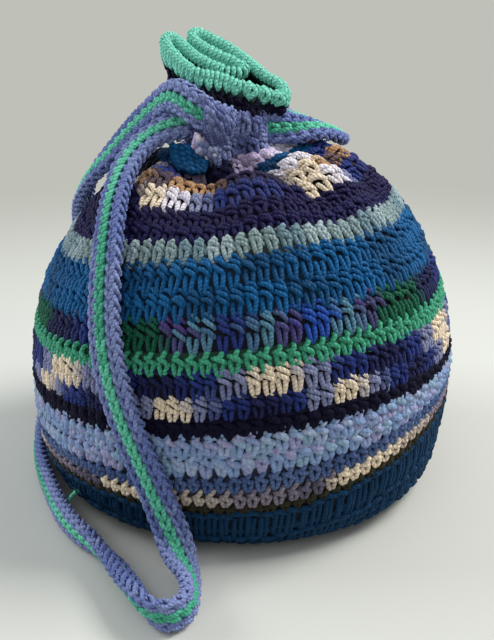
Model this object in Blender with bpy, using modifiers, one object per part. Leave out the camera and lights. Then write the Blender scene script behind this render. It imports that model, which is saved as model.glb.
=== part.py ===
"""Crocheted drawstring bag with a flat crocheted strap.

Blender 4.5, metres, +Z up. The bag stands on the floor at z = 0, its base
centred on the world origin, and is seen from the front along +Y.
The pouch is one loft: flat base, bulging wall, gathered shoulder, pleated
neck and a flattened mouth. The strap is one closed band that runs through
four slots in the neck, so it is also the drawstring.
"""
import math

import bmesh
import bpy
import numpy as np
from mathutils import Vector

MM = 0.001

# Pouch sizes
WALL = 4.2 * MM
NECK_WALL = 3.2 * MM
NECK_RADIUS = 22.3 * MM
NECK_PLEATS = 7
NECK_PLEAT_DEPTH = 2.0 * MM
NECK_CENTRE = (-3.0 * MM, 2.0 * MM)
WAIST_HEIGHT = 208.0 * MM
NECK_RISE = 33.0 * MM
RIM_SLOPE_X = -0.20
RIM_SLOPE_Y = 0.45
LEAN = 12.0 * MM
SIDE_SAG = 5.0 * MM
FOLD_HEIGHT = 14.0 * MM
LEAN_RISE = 60.0 * MM
COLUMNS = 64

# Strap sizes
STRAP_WIDTH = 20.0 * MM
STRAP_THICKNESS = 6.0 * MM
GROOVE_WIDTH = 5.0 * MM
GROOVE_DEPTH = 1.8 * MM
CHAIN_HEIGHT = 2.4 * MM
SEAT_GAP = 0.6 * MM
SLOT_CLEARANCE = 1.0 * MM
STRAP_STATIONS = 160
TAIL_DIAMETER = 2.6 * MM
STRAP_FLOOR = 11.0 * MM

# Radius and height of the wall's middle at the front, in mm, from the base
# centre up to the waist of the neck. WAIST_HEIGHT stretches the heights.
PROFILE_MM = [
    (4.0, 0.0),
    (34.0, 0.0),
    (66.0, 0.0),
    (94.0, 0.0),
    (107.0, 4.5),
    (114.5, 12.5),
    (118.5, 25.0),
    (120.8, 38.0),
    (122.2, 50.0),
    (122.8, 61.0),
    (122.6, 72.0),
    (122.4, 83.0),
    (121.6, 94.0),
    (120.0, 105.5),
    (117.0, 117.0),
    (112.5, 130.0),
    (107.0, 142.5),
    (100.0, 154.5),
    (91.5, 164.5),
    (82.5, 172.5),
    (73.0, 179.0),
    (64.0, 184.5),
    (54.5, 188.5),
    (45.5, 191.0),
    (37.5, 192.0),
    (31.0, 193.5),
    (26.5, 197.0),
    (23.8, 202.0),
    (22.3, 208.0),
]
GATHER_START = 17
SHOULDER_START = 120.0 * MM

# Soft folds and hollows on the shoulder, as angle in degrees, spread in
# radians, radius, reach and height in mm
SHOULDER_FOLDS = [
    (268, 0.50, 33.0, 14.0, -15.0),
    (338, 0.40, 52.0, 22.0, 4.0),
    (222, 0.35, 48.0, 18.0, 4.0),
]
# Heights of the neck's rings above the waist, as shares of the rise to the rim
NECK_RINGS = [0.18, 0.36, 0.54, 0.72, 0.87, 1.0]

# Plan of the flattened mouth, anticlockwise from its right tip, in mm
RIM_MM = [
    (28.5, -5.0),
    (26.0, 2.5),
    (20.3, 6.0),
    (11.0, 15.1),
    (0.5, 25.0),
    (-12.4, 33.5),
    (-20.5, 38.0),
    (-29.5, 39.0),
    (-38.0, 35.0),
    (-44.0, 28.5),
    (-45.5, 20.0),
    (-40.5, 10.5),
    (-34.5, 4.0),
    (-29.0, -0.6),
    (-23.0, -2.6),
    (-10.5, -3.4),
    (-4.5, -5.0),
    (0.8, -7.0),
    (4.5, -6.2),
    (8.5, -8.8),
    (12.8, -7.6),
    (16.8, -10.8),
    (20.8, -9.6),
    (25.0, -11.5),
]

# Strap route: place in mm and the way its patterned face looks. It starts
# inside the neck, runs down the front, turns on the floor, climbs behind the
# left side, passes the neck again and ends with the loop at the right back.
ROUTE = [
    ((-3.0, -2.5, 213.0), (0.0, -1.0, 0.1)),
    ((-15.0, -3.5, 213.5), (-0.02, -0.94, 0.33)),
    ((-27.0, -6.0, 214.0), (-0.06, -0.87, 0.48)),
    ((-38.0, -10.0, 212.0), (-0.12, -0.7, 0.7)),
    ((-48.0, -14.0, 207.5), (-0.3, -0.45, 0.84)),
    ((-56.0, -20.0, 201.5), (-0.42, -0.48, 0.77)),
    ((-61.8, -30.0, 194.0), (-0.52, -0.52, 0.68)),
    ((-65.5, -48.0, 183.5), (-0.58, -0.58, 0.56)),
    ((-66.5, -68.0, 173.0), (-0.6, -0.64, 0.47)),
    ((-67.0, -83.5, 160.0), (-0.58, -0.7, 0.42)),
    ((-67.7, -95.5, 141.4), (-0.54, -0.75, 0.38)),
    ((-66.8, -104.5, 122.8), (-0.49, -0.82, 0.28)),
    ((-63.8, -111.0, 104.3), (-0.42, -0.88, 0.15)),
    ((-58.5, -115.8, 87.0), (-0.4, -0.91, 0.05)),
    ((-50.8, -119.6, 66.5), (-0.36, -0.93, 0.05)),
    ((-43.0, -121.6, 46.0), (-0.3, -0.94, 0.15)),
    ((-37.0, -123.5, 29.5), (-0.1, -0.88, 0.45)),
    ((-32.5, -128.5, 17.5), (0.15, -0.55, 0.8)),
    ((-29.0, -138.0, 12.2), (0.5, -0.3, 0.8)),
    ((-25.7, -150.0, 11.0), (0.8, -0.15, 0.55)),
    ((-24.0, -162.0, 11.0), (0.96, -0.1, 0.25)),
    ((-25.2, -172.5, 11.0), (0.8, -0.55, 0.05)),
    ((-32.0, -179.5, 11.0), (0.1, -0.98, -0.1)),
    ((-40.0, -177.0, 11.0), (-0.5, -0.8, -0.25)),
    ((-47.5, -166.0, 10.6), (-0.75, -0.42, -0.5)),
    ((-56.0, -148.5, 9.4), (-0.62, -0.35, -0.7)),
    ((-65.5, -131.0, 9.8), (-0.65, -0.4, -0.62)),
    ((-76.5, -116.5, 10.8), (-0.72, -0.6, -0.35)),
    ((-88.0, -103.0, 11.0), (-0.76, -0.62, -0.12)),
    ((-99.0, -84.5, 11.0), (-0.84, -0.54, 0.0)),
    ((-110.0, -58.0, 11.0), (-0.9, -0.42, 0.0)),
    ((-119.5, -30.5, 11.0), (-0.96, -0.28, 0.0)),
    ((-125.5, 0.0, 11.0), (-1.0, -0.05, 0.0)),
    ((-126.5, 25.0, 17.0), (-0.98, 0.2, 0.0)),
    ((-119.5, 52.0, 34.0), (-0.9, 0.43, 0.0)),
    ((-111.0, 70.0, 56.0), (-0.84, 0.54, 0.05)),
    ((-106.0, 77.0, 82.0), (-0.8, 0.59, 0.1)),
    ((-103.0, 76.5, 106.0), (-0.78, 0.58, 0.22)),
    ((-101.0, 69.0, 127.0), (-0.78, 0.5, 0.38)),
    ((-99.0, 54.5, 147.5), (-0.82, 0.32, 0.48)),
    ((-95.0, 37.0, 163.5), (-0.83, 0.1, 0.54)),
    ((-87.0, 24.0, 178.0), (-0.78, -0.15, 0.6)),
    ((-76.5, 17.0, 190.0), (-0.72, -0.36, 0.59)),
    ((-61.5, 12.5, 207.0), (-0.62, -0.5, 0.6)),
    ((-47.5, 6.0, 221.0), (-0.55, -0.6, 0.58)),
    ((-38.5, -2.0, 228.5), (-0.6, -0.68, 0.42)),
    ((-31.0, -11.5, 229.0), (-0.65, -0.74, 0.2)),
    ((-22.8, -19.0, 224.5), (-0.42, -0.9, 0.12)),
    ((-13.5, -19.0, 219.0), (0.1, -0.98, 0.1)),
    ((-3.8, -12.8, 215.5), (0.35, -0.92, 0.1)),
    ((7.0, -8.3, 213.5), (0.15, -0.98, 0.1)),
    ((20.0, -7.2, 212.7), (0.05, -0.97, 0.22)),
    ((32.0, -5.5, 211.0), (0.05, -0.7, 0.7)),
    ((43.0, -1.0, 209.8), (0.1, -0.35, 0.93)),
    ((51.5, 8.0, 206.0), (0.28, -0.12, 0.94)),
    ((55.5, 20.0, 202.0), (0.4, 0.08, 0.9)),
    ((53.0, 31.5, 201.0), (0.3, 0.2, 0.93)),
    ((44.0, 37.5, 204.0), (0.1, 0.12, 0.98)),
    ((34.5, 33.5, 208.0), (0.2, -0.15, 0.97)),
    ((26.0, 25.5, 210.5), (0.5, -0.55, 0.65)),
    ((17.5, 14.5, 212.5), (0.65, -0.75, 0.2)),
    ((8.0, 3.0, 213.0), (0.5, -0.85, 0.1)),
]
TAIL_MM = [
    (-96.0, -79.6, 14.0),
    (-94.6, -79.8, 16.9),
    (-92.8, -80.8, 19.6),
    (-90.4, -83.3, 23.0),
]


def clear_scene():
    """Remove every object, so the script can be run again."""
    for obj in list(bpy.data.objects):
        bpy.data.objects.remove(obj, do_unlink=True)


def make_collections():
    """One collection for the bag and one for its hidden cutters."""
    bag = bpy.data.collections.new("mochila_bag")
    cutters = bpy.data.collections.new("cutters")
    for collection in (bag, cutters):
        bpy.context.scene.collection.children.link(collection)
    return bag, cutters


def yarn_material(name, colour, roughness):
    """Matt dyed yarn."""
    material = bpy.data.materials.new(name)
    material.use_nodes = True
    shader = material.node_tree.nodes["Principled BSDF"]
    shader.inputs["Base Color"].default_value = (*colour, 1.0)
    shader.inputs["Roughness"].default_value = roughness
    shader.inputs["Metallic"].default_value = 0.0
    return material


def smoothstep(x):
    """Ease from 0 to 1."""
    x = np.clip(x, 0.0, 1.0)
    return x * x * (3.0 - 2.0 * x)


def closed_curve(points, per):
    """Catmull-Rom curve through a closed ring of points."""
    p = np.asarray(points, float)
    count = len(p)
    curve = []
    for i in range(count):
        a, b, c, d = (p[(i + k) % count] for k in (-1, 0, 1, 2))
        for t in np.arange(per) / per:
            linear = (c - a) * t
            square = (2 * a - 5 * b + 4 * c - d) * t**2
            cube = (3 * b - a - 3 * c + d) * t**3
            curve.append(0.5 * (2 * b + linear + square + cube))
    return np.array(curve)


def even_ring(curve, shares):
    """Points of a closed curve at the given shares of its length."""
    ring = np.vstack([curve, curve[:1]])
    steps = np.linalg.norm(np.diff(ring, axis=0), axis=1)
    length = np.concatenate([[0.0], np.cumsum(steps)])
    share = length / length[-1]
    return np.stack([np.interp(shares, share, ring[:, k]) for k in range(ring.shape[1])], -1)


def neck_plan(turn):
    """Pleated ring at the waist of the neck."""
    wave = np.cos(NECK_PLEATS * turn + 0.9)
    radius = NECK_RADIUS + NECK_PLEAT_DEPTH * wave
    ring = np.stack([np.cos(turn), np.sin(turn)], -1) * radius[:, None]
    return ring + np.array(NECK_CENTRE)


def bump(turn, radius, angle, spread, at_radius, reach, height):
    """Height of one soft fold or hollow on the shoulder."""
    across = np.exp(-(((turn - math.radians(angle)) / spread) ** 2))
    along = math.exp(-(((radius - at_radius * MM) / (reach * MM)) ** 2))
    return height * MM * across * along


def tall():
    """How far the pouch is stretched from the heights typed in PROFILE_MM."""
    return WAIST_HEIGHT / (PROFILE_MM[-1][1] * MM)


def body_rings(turn):
    """Rings from the base to the waist, drawn in towards the pleated neck."""
    neck = neck_plan(turn)
    circle = np.stack([np.cos(turn), np.sin(turn)], -1)
    wave = np.cos(NECK_PLEATS * turn + 0.9)
    start = PROFILE_MM[GATHER_START][0] * MM
    rings = []
    for index, (radius_mm, height_mm) in enumerate(PROFILE_MM):
        radius = radius_mm * MM
        gather = 0.0
        if index > GATHER_START:
            gather = (start - radius) / (start - PROFILE_MM[-1][0] * MM)
        free = 1.0 - gather
        spread = start if gather > 0.0 else radius
        level = height_mm * MM * tall()
        shift = (1.5 - 6.0 * smoothstep((height_mm - 60.0) / 110.0)) * MM
        plan = circle * spread * free + neck * gather
        plan[:, 0] += shift * free
        up = smoothstep((level - WALL) / LEAN_RISE) * free
        height = np.full(len(turn), level + WALL / 2)
        height += LEAN * np.cos(turn) * up
        height -= SIDE_SAG * np.cos(2 * turn) * up
        height += FOLD_HEIGHT * wave * gather * free
        if level > SHOULDER_START:
            for fold in SHOULDER_FOLDS:
                height += bump(turn, radius, *fold)
        rings.append(np.column_stack([plan, height]))
    return rings


def soften(ring, passes):
    """Round off tight bends in a closed ring."""
    for _ in range(passes):
        ring = 0.5 * ring + 0.25 * (np.roll(ring, 1, axis=0) + np.roll(ring, -1, axis=0))
    return ring


def neck_rings(turn):
    """Rings from the waist up to the sloping mouth."""
    neck = neck_plan(turn)
    mouth = even_ring(closed_curve(RIM_MM, 12), turn / (2 * math.pi)) * MM
    rings = []
    for share in NECK_RINGS:
        ease = smoothstep(share)
        plan = soften(neck * (1.0 - ease) + mouth * ease, round(8 * (1.0 - share)))
        height = WAIST_HEIGHT + share * NECK_RISE
        slope = RIM_SLOPE_X * plan[:, 0] + RIM_SLOPE_Y * plan[:, 1]
        rings.append(np.column_stack([plan, height + ease * slope]))
    return rings


def loft(name, rings, material, collection):
    """Skin a stack of rings that all have the same number of points."""
    mesh = bpy.data.meshes.new(name)
    shape = bmesh.new()
    rows = [[shape.verts.new(point) for point in ring] for ring in rings]
    for lower, upper in zip(rows, rows[1:]):
        for i in range(len(lower)):
            j = (i + 1) % len(lower)
            shape.faces.new((lower[i], lower[j], upper[j], upper[i]))
    shape.faces.new(list(reversed(rows[0])))
    bmesh.ops.recalc_face_normals(shape, faces=shape.faces)
    shape.to_mesh(mesh)
    shape.free()
    mesh.materials.append(material)
    obj = bpy.data.objects.new(name, mesh)
    collection.objects.link(obj)
    return obj


def islands_of(shape):
    """Groups of faces joined along edges, largest first."""
    left = set(shape.faces)
    islands = []
    while left:
        waiting = [left.pop()]
        island = []
        while waiting:
            face = waiting.pop()
            island.append(face)
            for edge in face.edges:
                pair = edge.link_faces if len(edge.link_faces) == 2 else ()
                for other in pair:
                    if other in left:
                        left.remove(other)
                        waiting.append(other)
        islands.append(island)
    return sorted(islands, key=len, reverse=True)


def drop_crumbs(obj):
    """Apply the modifiers and remove the crumbs that the slots cut off."""
    graph = bpy.context.evaluated_depsgraph_get()
    mesh = bpy.data.meshes.new_from_object(obj.evaluated_get(graph))
    shape = bmesh.new()
    shape.from_mesh(mesh)
    for island in islands_of(shape)[1:]:
        bmesh.ops.delete(shape, geom=island, context="FACES")
    shape.to_mesh(mesh)
    shape.free()
    obj.modifiers.clear()
    obj.data = mesh


def make_body(collection, slot_cutters):
    """Pouch: the loft given its thickness, then slotted for the strap."""
    turn = np.arange(COLUMNS) / COLUMNS * 2 * math.pi
    pouch = body_rings(turn)
    neck = neck_rings(turn)
    blue = yarn_material("body_yarn", (0.09, 0.19, 0.42), 0.85)
    body = loft("bag_body", pouch + neck, blue, collection)
    group = body.vertex_groups.new(name="wall_share")
    for row in range(len(pouch) + len(neck)):
        columns = [row * COLUMNS + i for i in range(COLUMNS)]
        gathered = smoothstep((row - len(pouch) + 5) / 6)
        group.add(columns, float(1.0 - gathered * (1.0 - NECK_WALL / WALL)), "REPLACE")
    shell = body.modifiers.new("wall", "SOLIDIFY")
    shell.thickness = WALL
    shell.offset = 0.0
    shell.vertex_group = group.name
    for cutter in slot_cutters:
        slot = body.modifiers.new(cutter.name, "BOOLEAN")
        slot.operation = "DIFFERENCE"
        slot.solver = "EXACT"
        slot.use_self = True
        slot.object = cutter
    drop_crumbs(body)
    return body


def strap_frames():
    """Places and directions at even steps along the closed strap."""
    table = np.array([place + face for place, face in ROUTE])
    table[:, :3] *= MM
    table[:, 2] = STRAP_FLOOR + (table[:, 2] - STRAP_FLOOR) * tall()
    curve = closed_curve(table, 12)
    ring = np.vstack([curve, curve[:1]])
    steps = np.linalg.norm(np.diff(ring[:, :3], axis=0), axis=1)
    share = np.concatenate([[0.0], np.cumsum(steps)]) / steps.sum()
    want = np.arange(STRAP_STATIONS) / STRAP_STATIONS
    even = np.stack([np.interp(want, share, ring[:, k]) for k in range(6)], -1)
    place = even[:, :3]
    forward = np.roll(place, -1, axis=0) - np.roll(place, 1, axis=0)
    forward /= np.linalg.norm(forward, axis=1)[:, None]
    face = even[:, 3:] - forward * (even[:, 3:] * forward).sum(1)[:, None]
    face /= np.linalg.norm(face, axis=1)[:, None]
    across = np.cross(forward, face)
    return place, across, face, steps.sum()


def sweep(name, section, frames, material, collection, closed=True):
    """Carry a flat section, given as (across, up) pairs, along the frames."""
    place, across, face = frames
    mesh = bpy.data.meshes.new(name)
    shape = bmesh.new()
    rows = []
    for p, a, f in zip(place, across, face):
        rows.append([shape.verts.new(Vector(p + a * x + f * y)) for x, y in section])
    count = len(rows)
    for i in range(count if closed else count - 1):
        here = rows[i]
        there = rows[(i + 1) % count]
        for k in range(len(section)):
            n = (k + 1) % len(section)
            shape.faces.new((here[k], here[n], there[n], there[k]))
    if not closed:
        shape.faces.new(rows[0])
        shape.faces.new(list(reversed(rows[-1])))
    bmesh.ops.recalc_face_normals(shape, faces=shape.faces)
    shape.to_mesh(mesh)
    shape.free()
    if material:
        mesh.materials.append(material)
    obj = bpy.data.objects.new(name, mesh)
    collection.objects.link(obj)
    return obj


def band_section():
    """Flat strap with a groove down the middle of its face."""
    w = STRAP_WIDTH / 2
    t = STRAP_THICKNESS / 2
    g = GROOVE_WIDTH / 2
    return [
        (-w, 0.0),
        (-w + t * 0.5, -t),
        (0.0, -t),
        (w - t * 0.5, -t),
        (w, 0.0),
        (w - t * 0.5, t),
        (g, t),
        (g, t - GROOVE_DEPTH),
        (-g, t - GROOVE_DEPTH),
        (-g, t),
        (-w + t * 0.5, t),
    ]


def chain_section():
    """Mint chain: sits in the groove and stands a little proud of it."""
    w = GROOVE_WIDTH / 2 - SEAT_GAP
    low = STRAP_THICKNESS / 2 - GROOVE_DEPTH + SEAT_GAP
    brow = low + CHAIN_HEIGHT * 0.7
    return [(-w, low), (w, low), (w * 0.9, brow), (0.0, low + CHAIN_HEIGHT), (-w * 0.9, brow)]


def slot_section():
    """Outline of the band and its chain together, with room all round."""
    e = SLOT_CLEARANCE
    w = STRAP_WIDTH / 2
    t = STRAP_THICKNESS / 2
    g = GROOVE_WIDTH / 2
    top = t - GROOVE_DEPTH + SEAT_GAP + CHAIN_HEIGHT
    return [
        (-w - e, 0.0),
        (-w + t * 0.5 - e, -t - e),
        (0.0, -t - e),
        (w - t * 0.5 + e, -t - e),
        (w + e, 0.0),
        (w - t * 0.5 + e, t + e),
        (g, top + e),
        (-g, top + e),
        (-w + t * 0.5 - e, t + e),
    ]


def make_strap(collection):
    """Lavender band and the mint chain worked along it."""
    place, across, face, length = strap_frames()
    lavender = yarn_material("strap_yarn", (0.22, 0.27, 0.52), 0.85)
    mint = yarn_material("chain_yarn", (0.10, 0.50, 0.34), 0.8)
    band = sweep("strap_band", band_section(), (place, across, face), lavender, collection)
    chain = sweep("strap_chain", chain_section(), (place, across, face), mint, collection)
    print("strap length in metres", round(float(length), 3))
    return band, chain


def make_slot_cutters(collection):
    """Strap-shaped cutters with clearance, one for each run through the neck."""
    place, across, face, _ = strap_frames()
    near = np.linalg.norm(place[:, :2] - np.array(NECK_CENTRE), axis=1) < NECK_RADIUS + 0.9 * STRAP_WIDTH
    count = len(place)
    starts = [i for i in range(count) if near[i] and not near[i - 1]]
    runs = []
    for start in starts:
        run = [start]
        while near[(run[-1] + 1) % count]:
            run.append((run[-1] + 1) % count)
        runs.append(run)
    cutters = []
    for number, run in enumerate(runs):
        frames = (place[run], across[run], face[run])
        cutter = sweep("slot_cutter_%d" % number, slot_section(), frames, None, collection, closed=False)
        cutter.hide_render = True
        cutter.display_type = "WIRE"
        cutters.append(cutter)
    return cutters


def make_tail(collection):
    """Loose end of the mint yarn on the reverse of the strap."""
    points = np.array(TAIL_MM) * MM
    forward = np.gradient(points, axis=0)
    forward /= np.linalg.norm(forward, axis=1)[:, None]
    across = np.cross(forward, np.array([0.0, 0.0, 1.0]))
    across /= np.linalg.norm(across, axis=1)[:, None]
    face = np.cross(across, forward)
    angle = np.arange(8) / 8 * 2 * math.pi
    section = [(TAIL_DIAMETER / 2 * math.cos(a), TAIL_DIAMETER / 2 * math.sin(a)) for a in angle]
    mint = yarn_material("tail_yarn", (0.10, 0.50, 0.34), 0.8)
    return sweep("chain_tail", section, (points, across, face), mint, collection, closed=False)


def main():
    clear_scene()
    collection, cutters = make_collections()
    make_body(collection, make_slot_cutters(cutters))
    make_strap(collection)
    make_tail(collection)


main()
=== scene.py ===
"""Crocheted drawstring bag with its strap, drawn stitch by stitch.

The pouch is one folded surface. Each round of crochet is a set of yarn loops
laid on that surface, and the strap is rows of chain loops along its route.
Lengths are in millimetres until a mesh is made.
"""
import math

import bpy
import numpy as np
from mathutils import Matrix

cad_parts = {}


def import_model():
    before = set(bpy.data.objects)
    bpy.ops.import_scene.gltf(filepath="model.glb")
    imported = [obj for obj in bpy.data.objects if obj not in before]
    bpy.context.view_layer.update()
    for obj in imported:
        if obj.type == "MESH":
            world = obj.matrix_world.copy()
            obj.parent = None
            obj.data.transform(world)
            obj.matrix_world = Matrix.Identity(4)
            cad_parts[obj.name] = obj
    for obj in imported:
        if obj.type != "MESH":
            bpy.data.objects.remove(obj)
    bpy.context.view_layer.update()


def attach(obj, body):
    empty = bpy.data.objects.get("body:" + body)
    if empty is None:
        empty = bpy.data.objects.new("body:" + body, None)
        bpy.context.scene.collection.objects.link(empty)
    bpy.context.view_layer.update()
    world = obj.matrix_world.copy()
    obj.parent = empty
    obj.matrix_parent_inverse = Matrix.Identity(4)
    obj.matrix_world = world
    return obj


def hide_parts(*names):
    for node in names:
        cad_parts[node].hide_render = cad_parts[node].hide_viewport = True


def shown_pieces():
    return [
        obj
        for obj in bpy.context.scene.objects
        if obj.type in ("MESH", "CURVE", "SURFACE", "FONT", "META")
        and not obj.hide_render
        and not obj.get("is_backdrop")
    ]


MM = 0.001
RANDOM = np.random.default_rng(7)

# Pouch shape. It follows the solid part, but the mouth is a little lower and
# smaller, and the hollow in front of the neck is deeper.
WALL = 4.2
NECK_RADIUS = 22.3
NECK_PLEATS = 7
NECK_PLEAT_DEPTH = 3.0
NECK_CENTRE = (-3.0, 2.0)
WAIST_HEIGHT = 208.0
RIM_HEIGHT = 237.5
RIM_SCALE = 0.94
GATHER_RADIUS = 100.0
PLEAT_PHASE = 0.9
PLEAT_LIFT = 14.0
# Rise of the mouth towards the back and towards the left, for each millimetre
MOUTH_BACK_RISE = 0.45
MOUTH_LEFT_RISE = 0.2
# How far the wall stands to the right at its foot, and how far it moves to the
# left over a stretch of its height
LEAN_FOOT = 1.5
LEAN_CHANGE = 6.0
LEAN_FROM = 60.0
LEAN_OVER = 110.0
# Lift of the right side, with the left as much lower, and lift of the front and
# back, with both sides as much lower. Both set in above the foot.
SIDE_LIFT = 12.0
FRONT_LIFT = 5.0
LIFT_FROM = 4.0
LIFT_OVER = 60.0
# The hollow and the soft folds of the shoulder, which count above a height:
# angle in degrees, spread in radians, radius of the middle, reach, height
SHOULDER_HEIGHT = 120.0
SHOULDER_FOLDS = [
    (266, 0.62, 37, 12, -23.0),
    (338, 0.40, 52, 22, 4.0),
    (222, 0.35, 48, 18, 4.0),
]
# Height that a stitch past the mouth's edge gains, for a whole round
TOP_RISE = 9.0
# Yarn stays this far above the floor
FLOOR_GAP = 0.1

# One line per round, from the base centre up: name, yarn, kind of stitch,
# stitches in the round, radius and height of its upper edge, place of the
# front middle in the yarn's colour repeat, stitches in one repeat
ROUNDS = [
    ("base_1", "teal", "flat", 12, 16.0, 0.0, 0, 1),
    ("base_2", "teal", "flat", 24, 32.0, 0.0, 0, 1),
    ("base_3", "teal", "flat", 40, 48.0, 0.0, 0, 1),
    ("base_4", "teal", "flat", 56, 64.0, 0.0, 0, 1),
    ("base_5", "teal", "flat", 72, 80.0, 0.0, 0, 1),
    ("base_6", "teal", "wool", 88, 96.0, 0.3, 0, 1),
    ("heel_low", "teal", "wool", 94, 105.4, 4.95, 0, 1),
    ("heel", "teal", "wool", 100, 113.5, 11.5, 0, 1),
    ("teal_wall", "teal", "wool", 106, 118.8, 27.0, 0, 1),
    ("olive", "olive", "single", 107, 119.6, 31.5, 0, 1),
    ("stone", "stone", "single", 108, 120.9, 40.0, 0.66, 18.7),
    ("denim", "denim", "single", 109, 122.0, 50.0, 0, 9.8),
    ("pastel_lower", "pastel", "fuzzy", 108, 122.8, 61.0, 0.2, 14.3),
    ("pastel_upper", "pastel", "fuzzy", 108, 122.6, 72.0, 0.6, 12.1),
    ("navy_band", "navy", "velvet", 108, 122.4, 80.5, 0, 1),
    ("ocean_lower", "ocean", "double", 107, 121.8, 91.6, 0.52, 13.1),
    ("ocean_upper", "ocean", "double", 105, 120.0, 105.0, 0.0, 17),
    ("mint_round", "mint", "single", 103, 117.3, 116.0, 0, 1),
    ("mixed", "mixed", "double", 99, 112.3, 130.5, 0.26, 33),
    ("azure_lower", "azure", "double", 94, 106.3, 143.8, 0, 7.7),
    ("azure_upper", "azure", "double", 88, 98.5, 156.3, 0.5, 9.9),
    ("sage", "sage", "tall", 82, 90.5, 165.5, 0, 6.8),
    ("indigo_lower", "indigo", "dense", 76, 84.0, 171.5, 0, 1),
    ("indigo_upper", "indigo", "dense", 70, 75.5, 177.5, 0, 1),
    ("drift", "drift", "double", 62, 64.5, 184.3, 0.0, 13.3),
    ("sand", "sand", "double", 54, 54.5, 188.5, 0.0, 15.8),
    ("ink", "ink", "double", 48, 44.5, 191.2, 0.0, 15.3),
    ("azure_neck", "azure_neck", "double", 44, 33.5, 193.0, 0, 44),
    ("pastel_neck", "cloud_neck", "fuzzy", 42, 25.0, 198.5, 0, 42),
    ("lavender_lower", "lavender", "double", 42, 22.3, 208.0, 0, 5),
    ("lavender_upper", "lavender", "double", 44, 23.0, 221.0, 0.4, 5),
    ("navy_neck", "navy", "single", 48, 26.0, 229.5, 0, 1),
    ("rim", "rim_mint", "rim", 50, 29.0, 237.5, 0, 1),
]
FIRST_YARN_ROUND = 5
GATHER_ROUND = 21
WAIST_ROUND = 30

# Plan of the folded mouth, anticlockwise from its right tip. The points from
# the twelfth to the twenty-third are the fold that turns inwards.
RIM = [
    (28.5, -5.0),
    (26.0, 2.5),
    (20.3, 6.0),
    (15.2, 10.0),
    (11.0, 15.1),
    (5.6, 19.9),
    (0.5, 25.0),
    (-5.9, 29.7),
    (-12.4, 33.5),
    (-19.4, 37.1),
    (-26.0, 38.5),
    (-30.5, 34.0),
    (-28.0, 28.5),
    (-22.5, 24.5),
    (-16.0, 20.8),
    (-7.5, 17.0),
    (1.5, 12.8),
    (1.0, 7.0),
    (-6.5, 5.3),
    (-15.0, 8.3),
    (-21.0, 11.0),
    (-26.5, 15.1),
    (-31.5, 20.1),
    (-36.0, 26.0),
    (-41.5, 28.5),
    (-46.3, 23.5),
    (-44.0, 16.5),
    (-39.5, 10.0),
    (-34.5, 4.0),
    (-29.0, -1.0),
    (-23.0, -3.2),
    (-16.7, -3.0),
    (-10.5, -3.6),
    (-4.5, -5.0),
    (0.8, -7.5),
    (4.5, -5.4),
    (8.5, -9.6),
    (12.8, -6.4),
    (16.8, -11.4),
    (20.8, -8.4),
    (25.0, -12.4),
]
# Share of the mouth's length against the angle at the waist, in turns
SWIRL = [(0.0, 0.0), (0.30, 0.30), (0.47, 0.42), (0.62, 0.53), (0.72, 0.61), (0.85, 0.76), (1.0, 1.0)]

# Strap
CHAIN_PITCH = 6.2
YARN_RADIUS = 1.45
# The mint chain sits this far from the strap's middle
STRAP_SHIFT = 1.2
# Places of the lavender chains from the middle, on the face and on the reverse
FACE_CHAIN = 5.5
REVERSE_CHAIN = 4.4
# Distance ahead and behind that gives the strap's direction
LOOK = 2.0
# Distance between the points of the strap's path
PATH_STEP = 4.0
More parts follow.
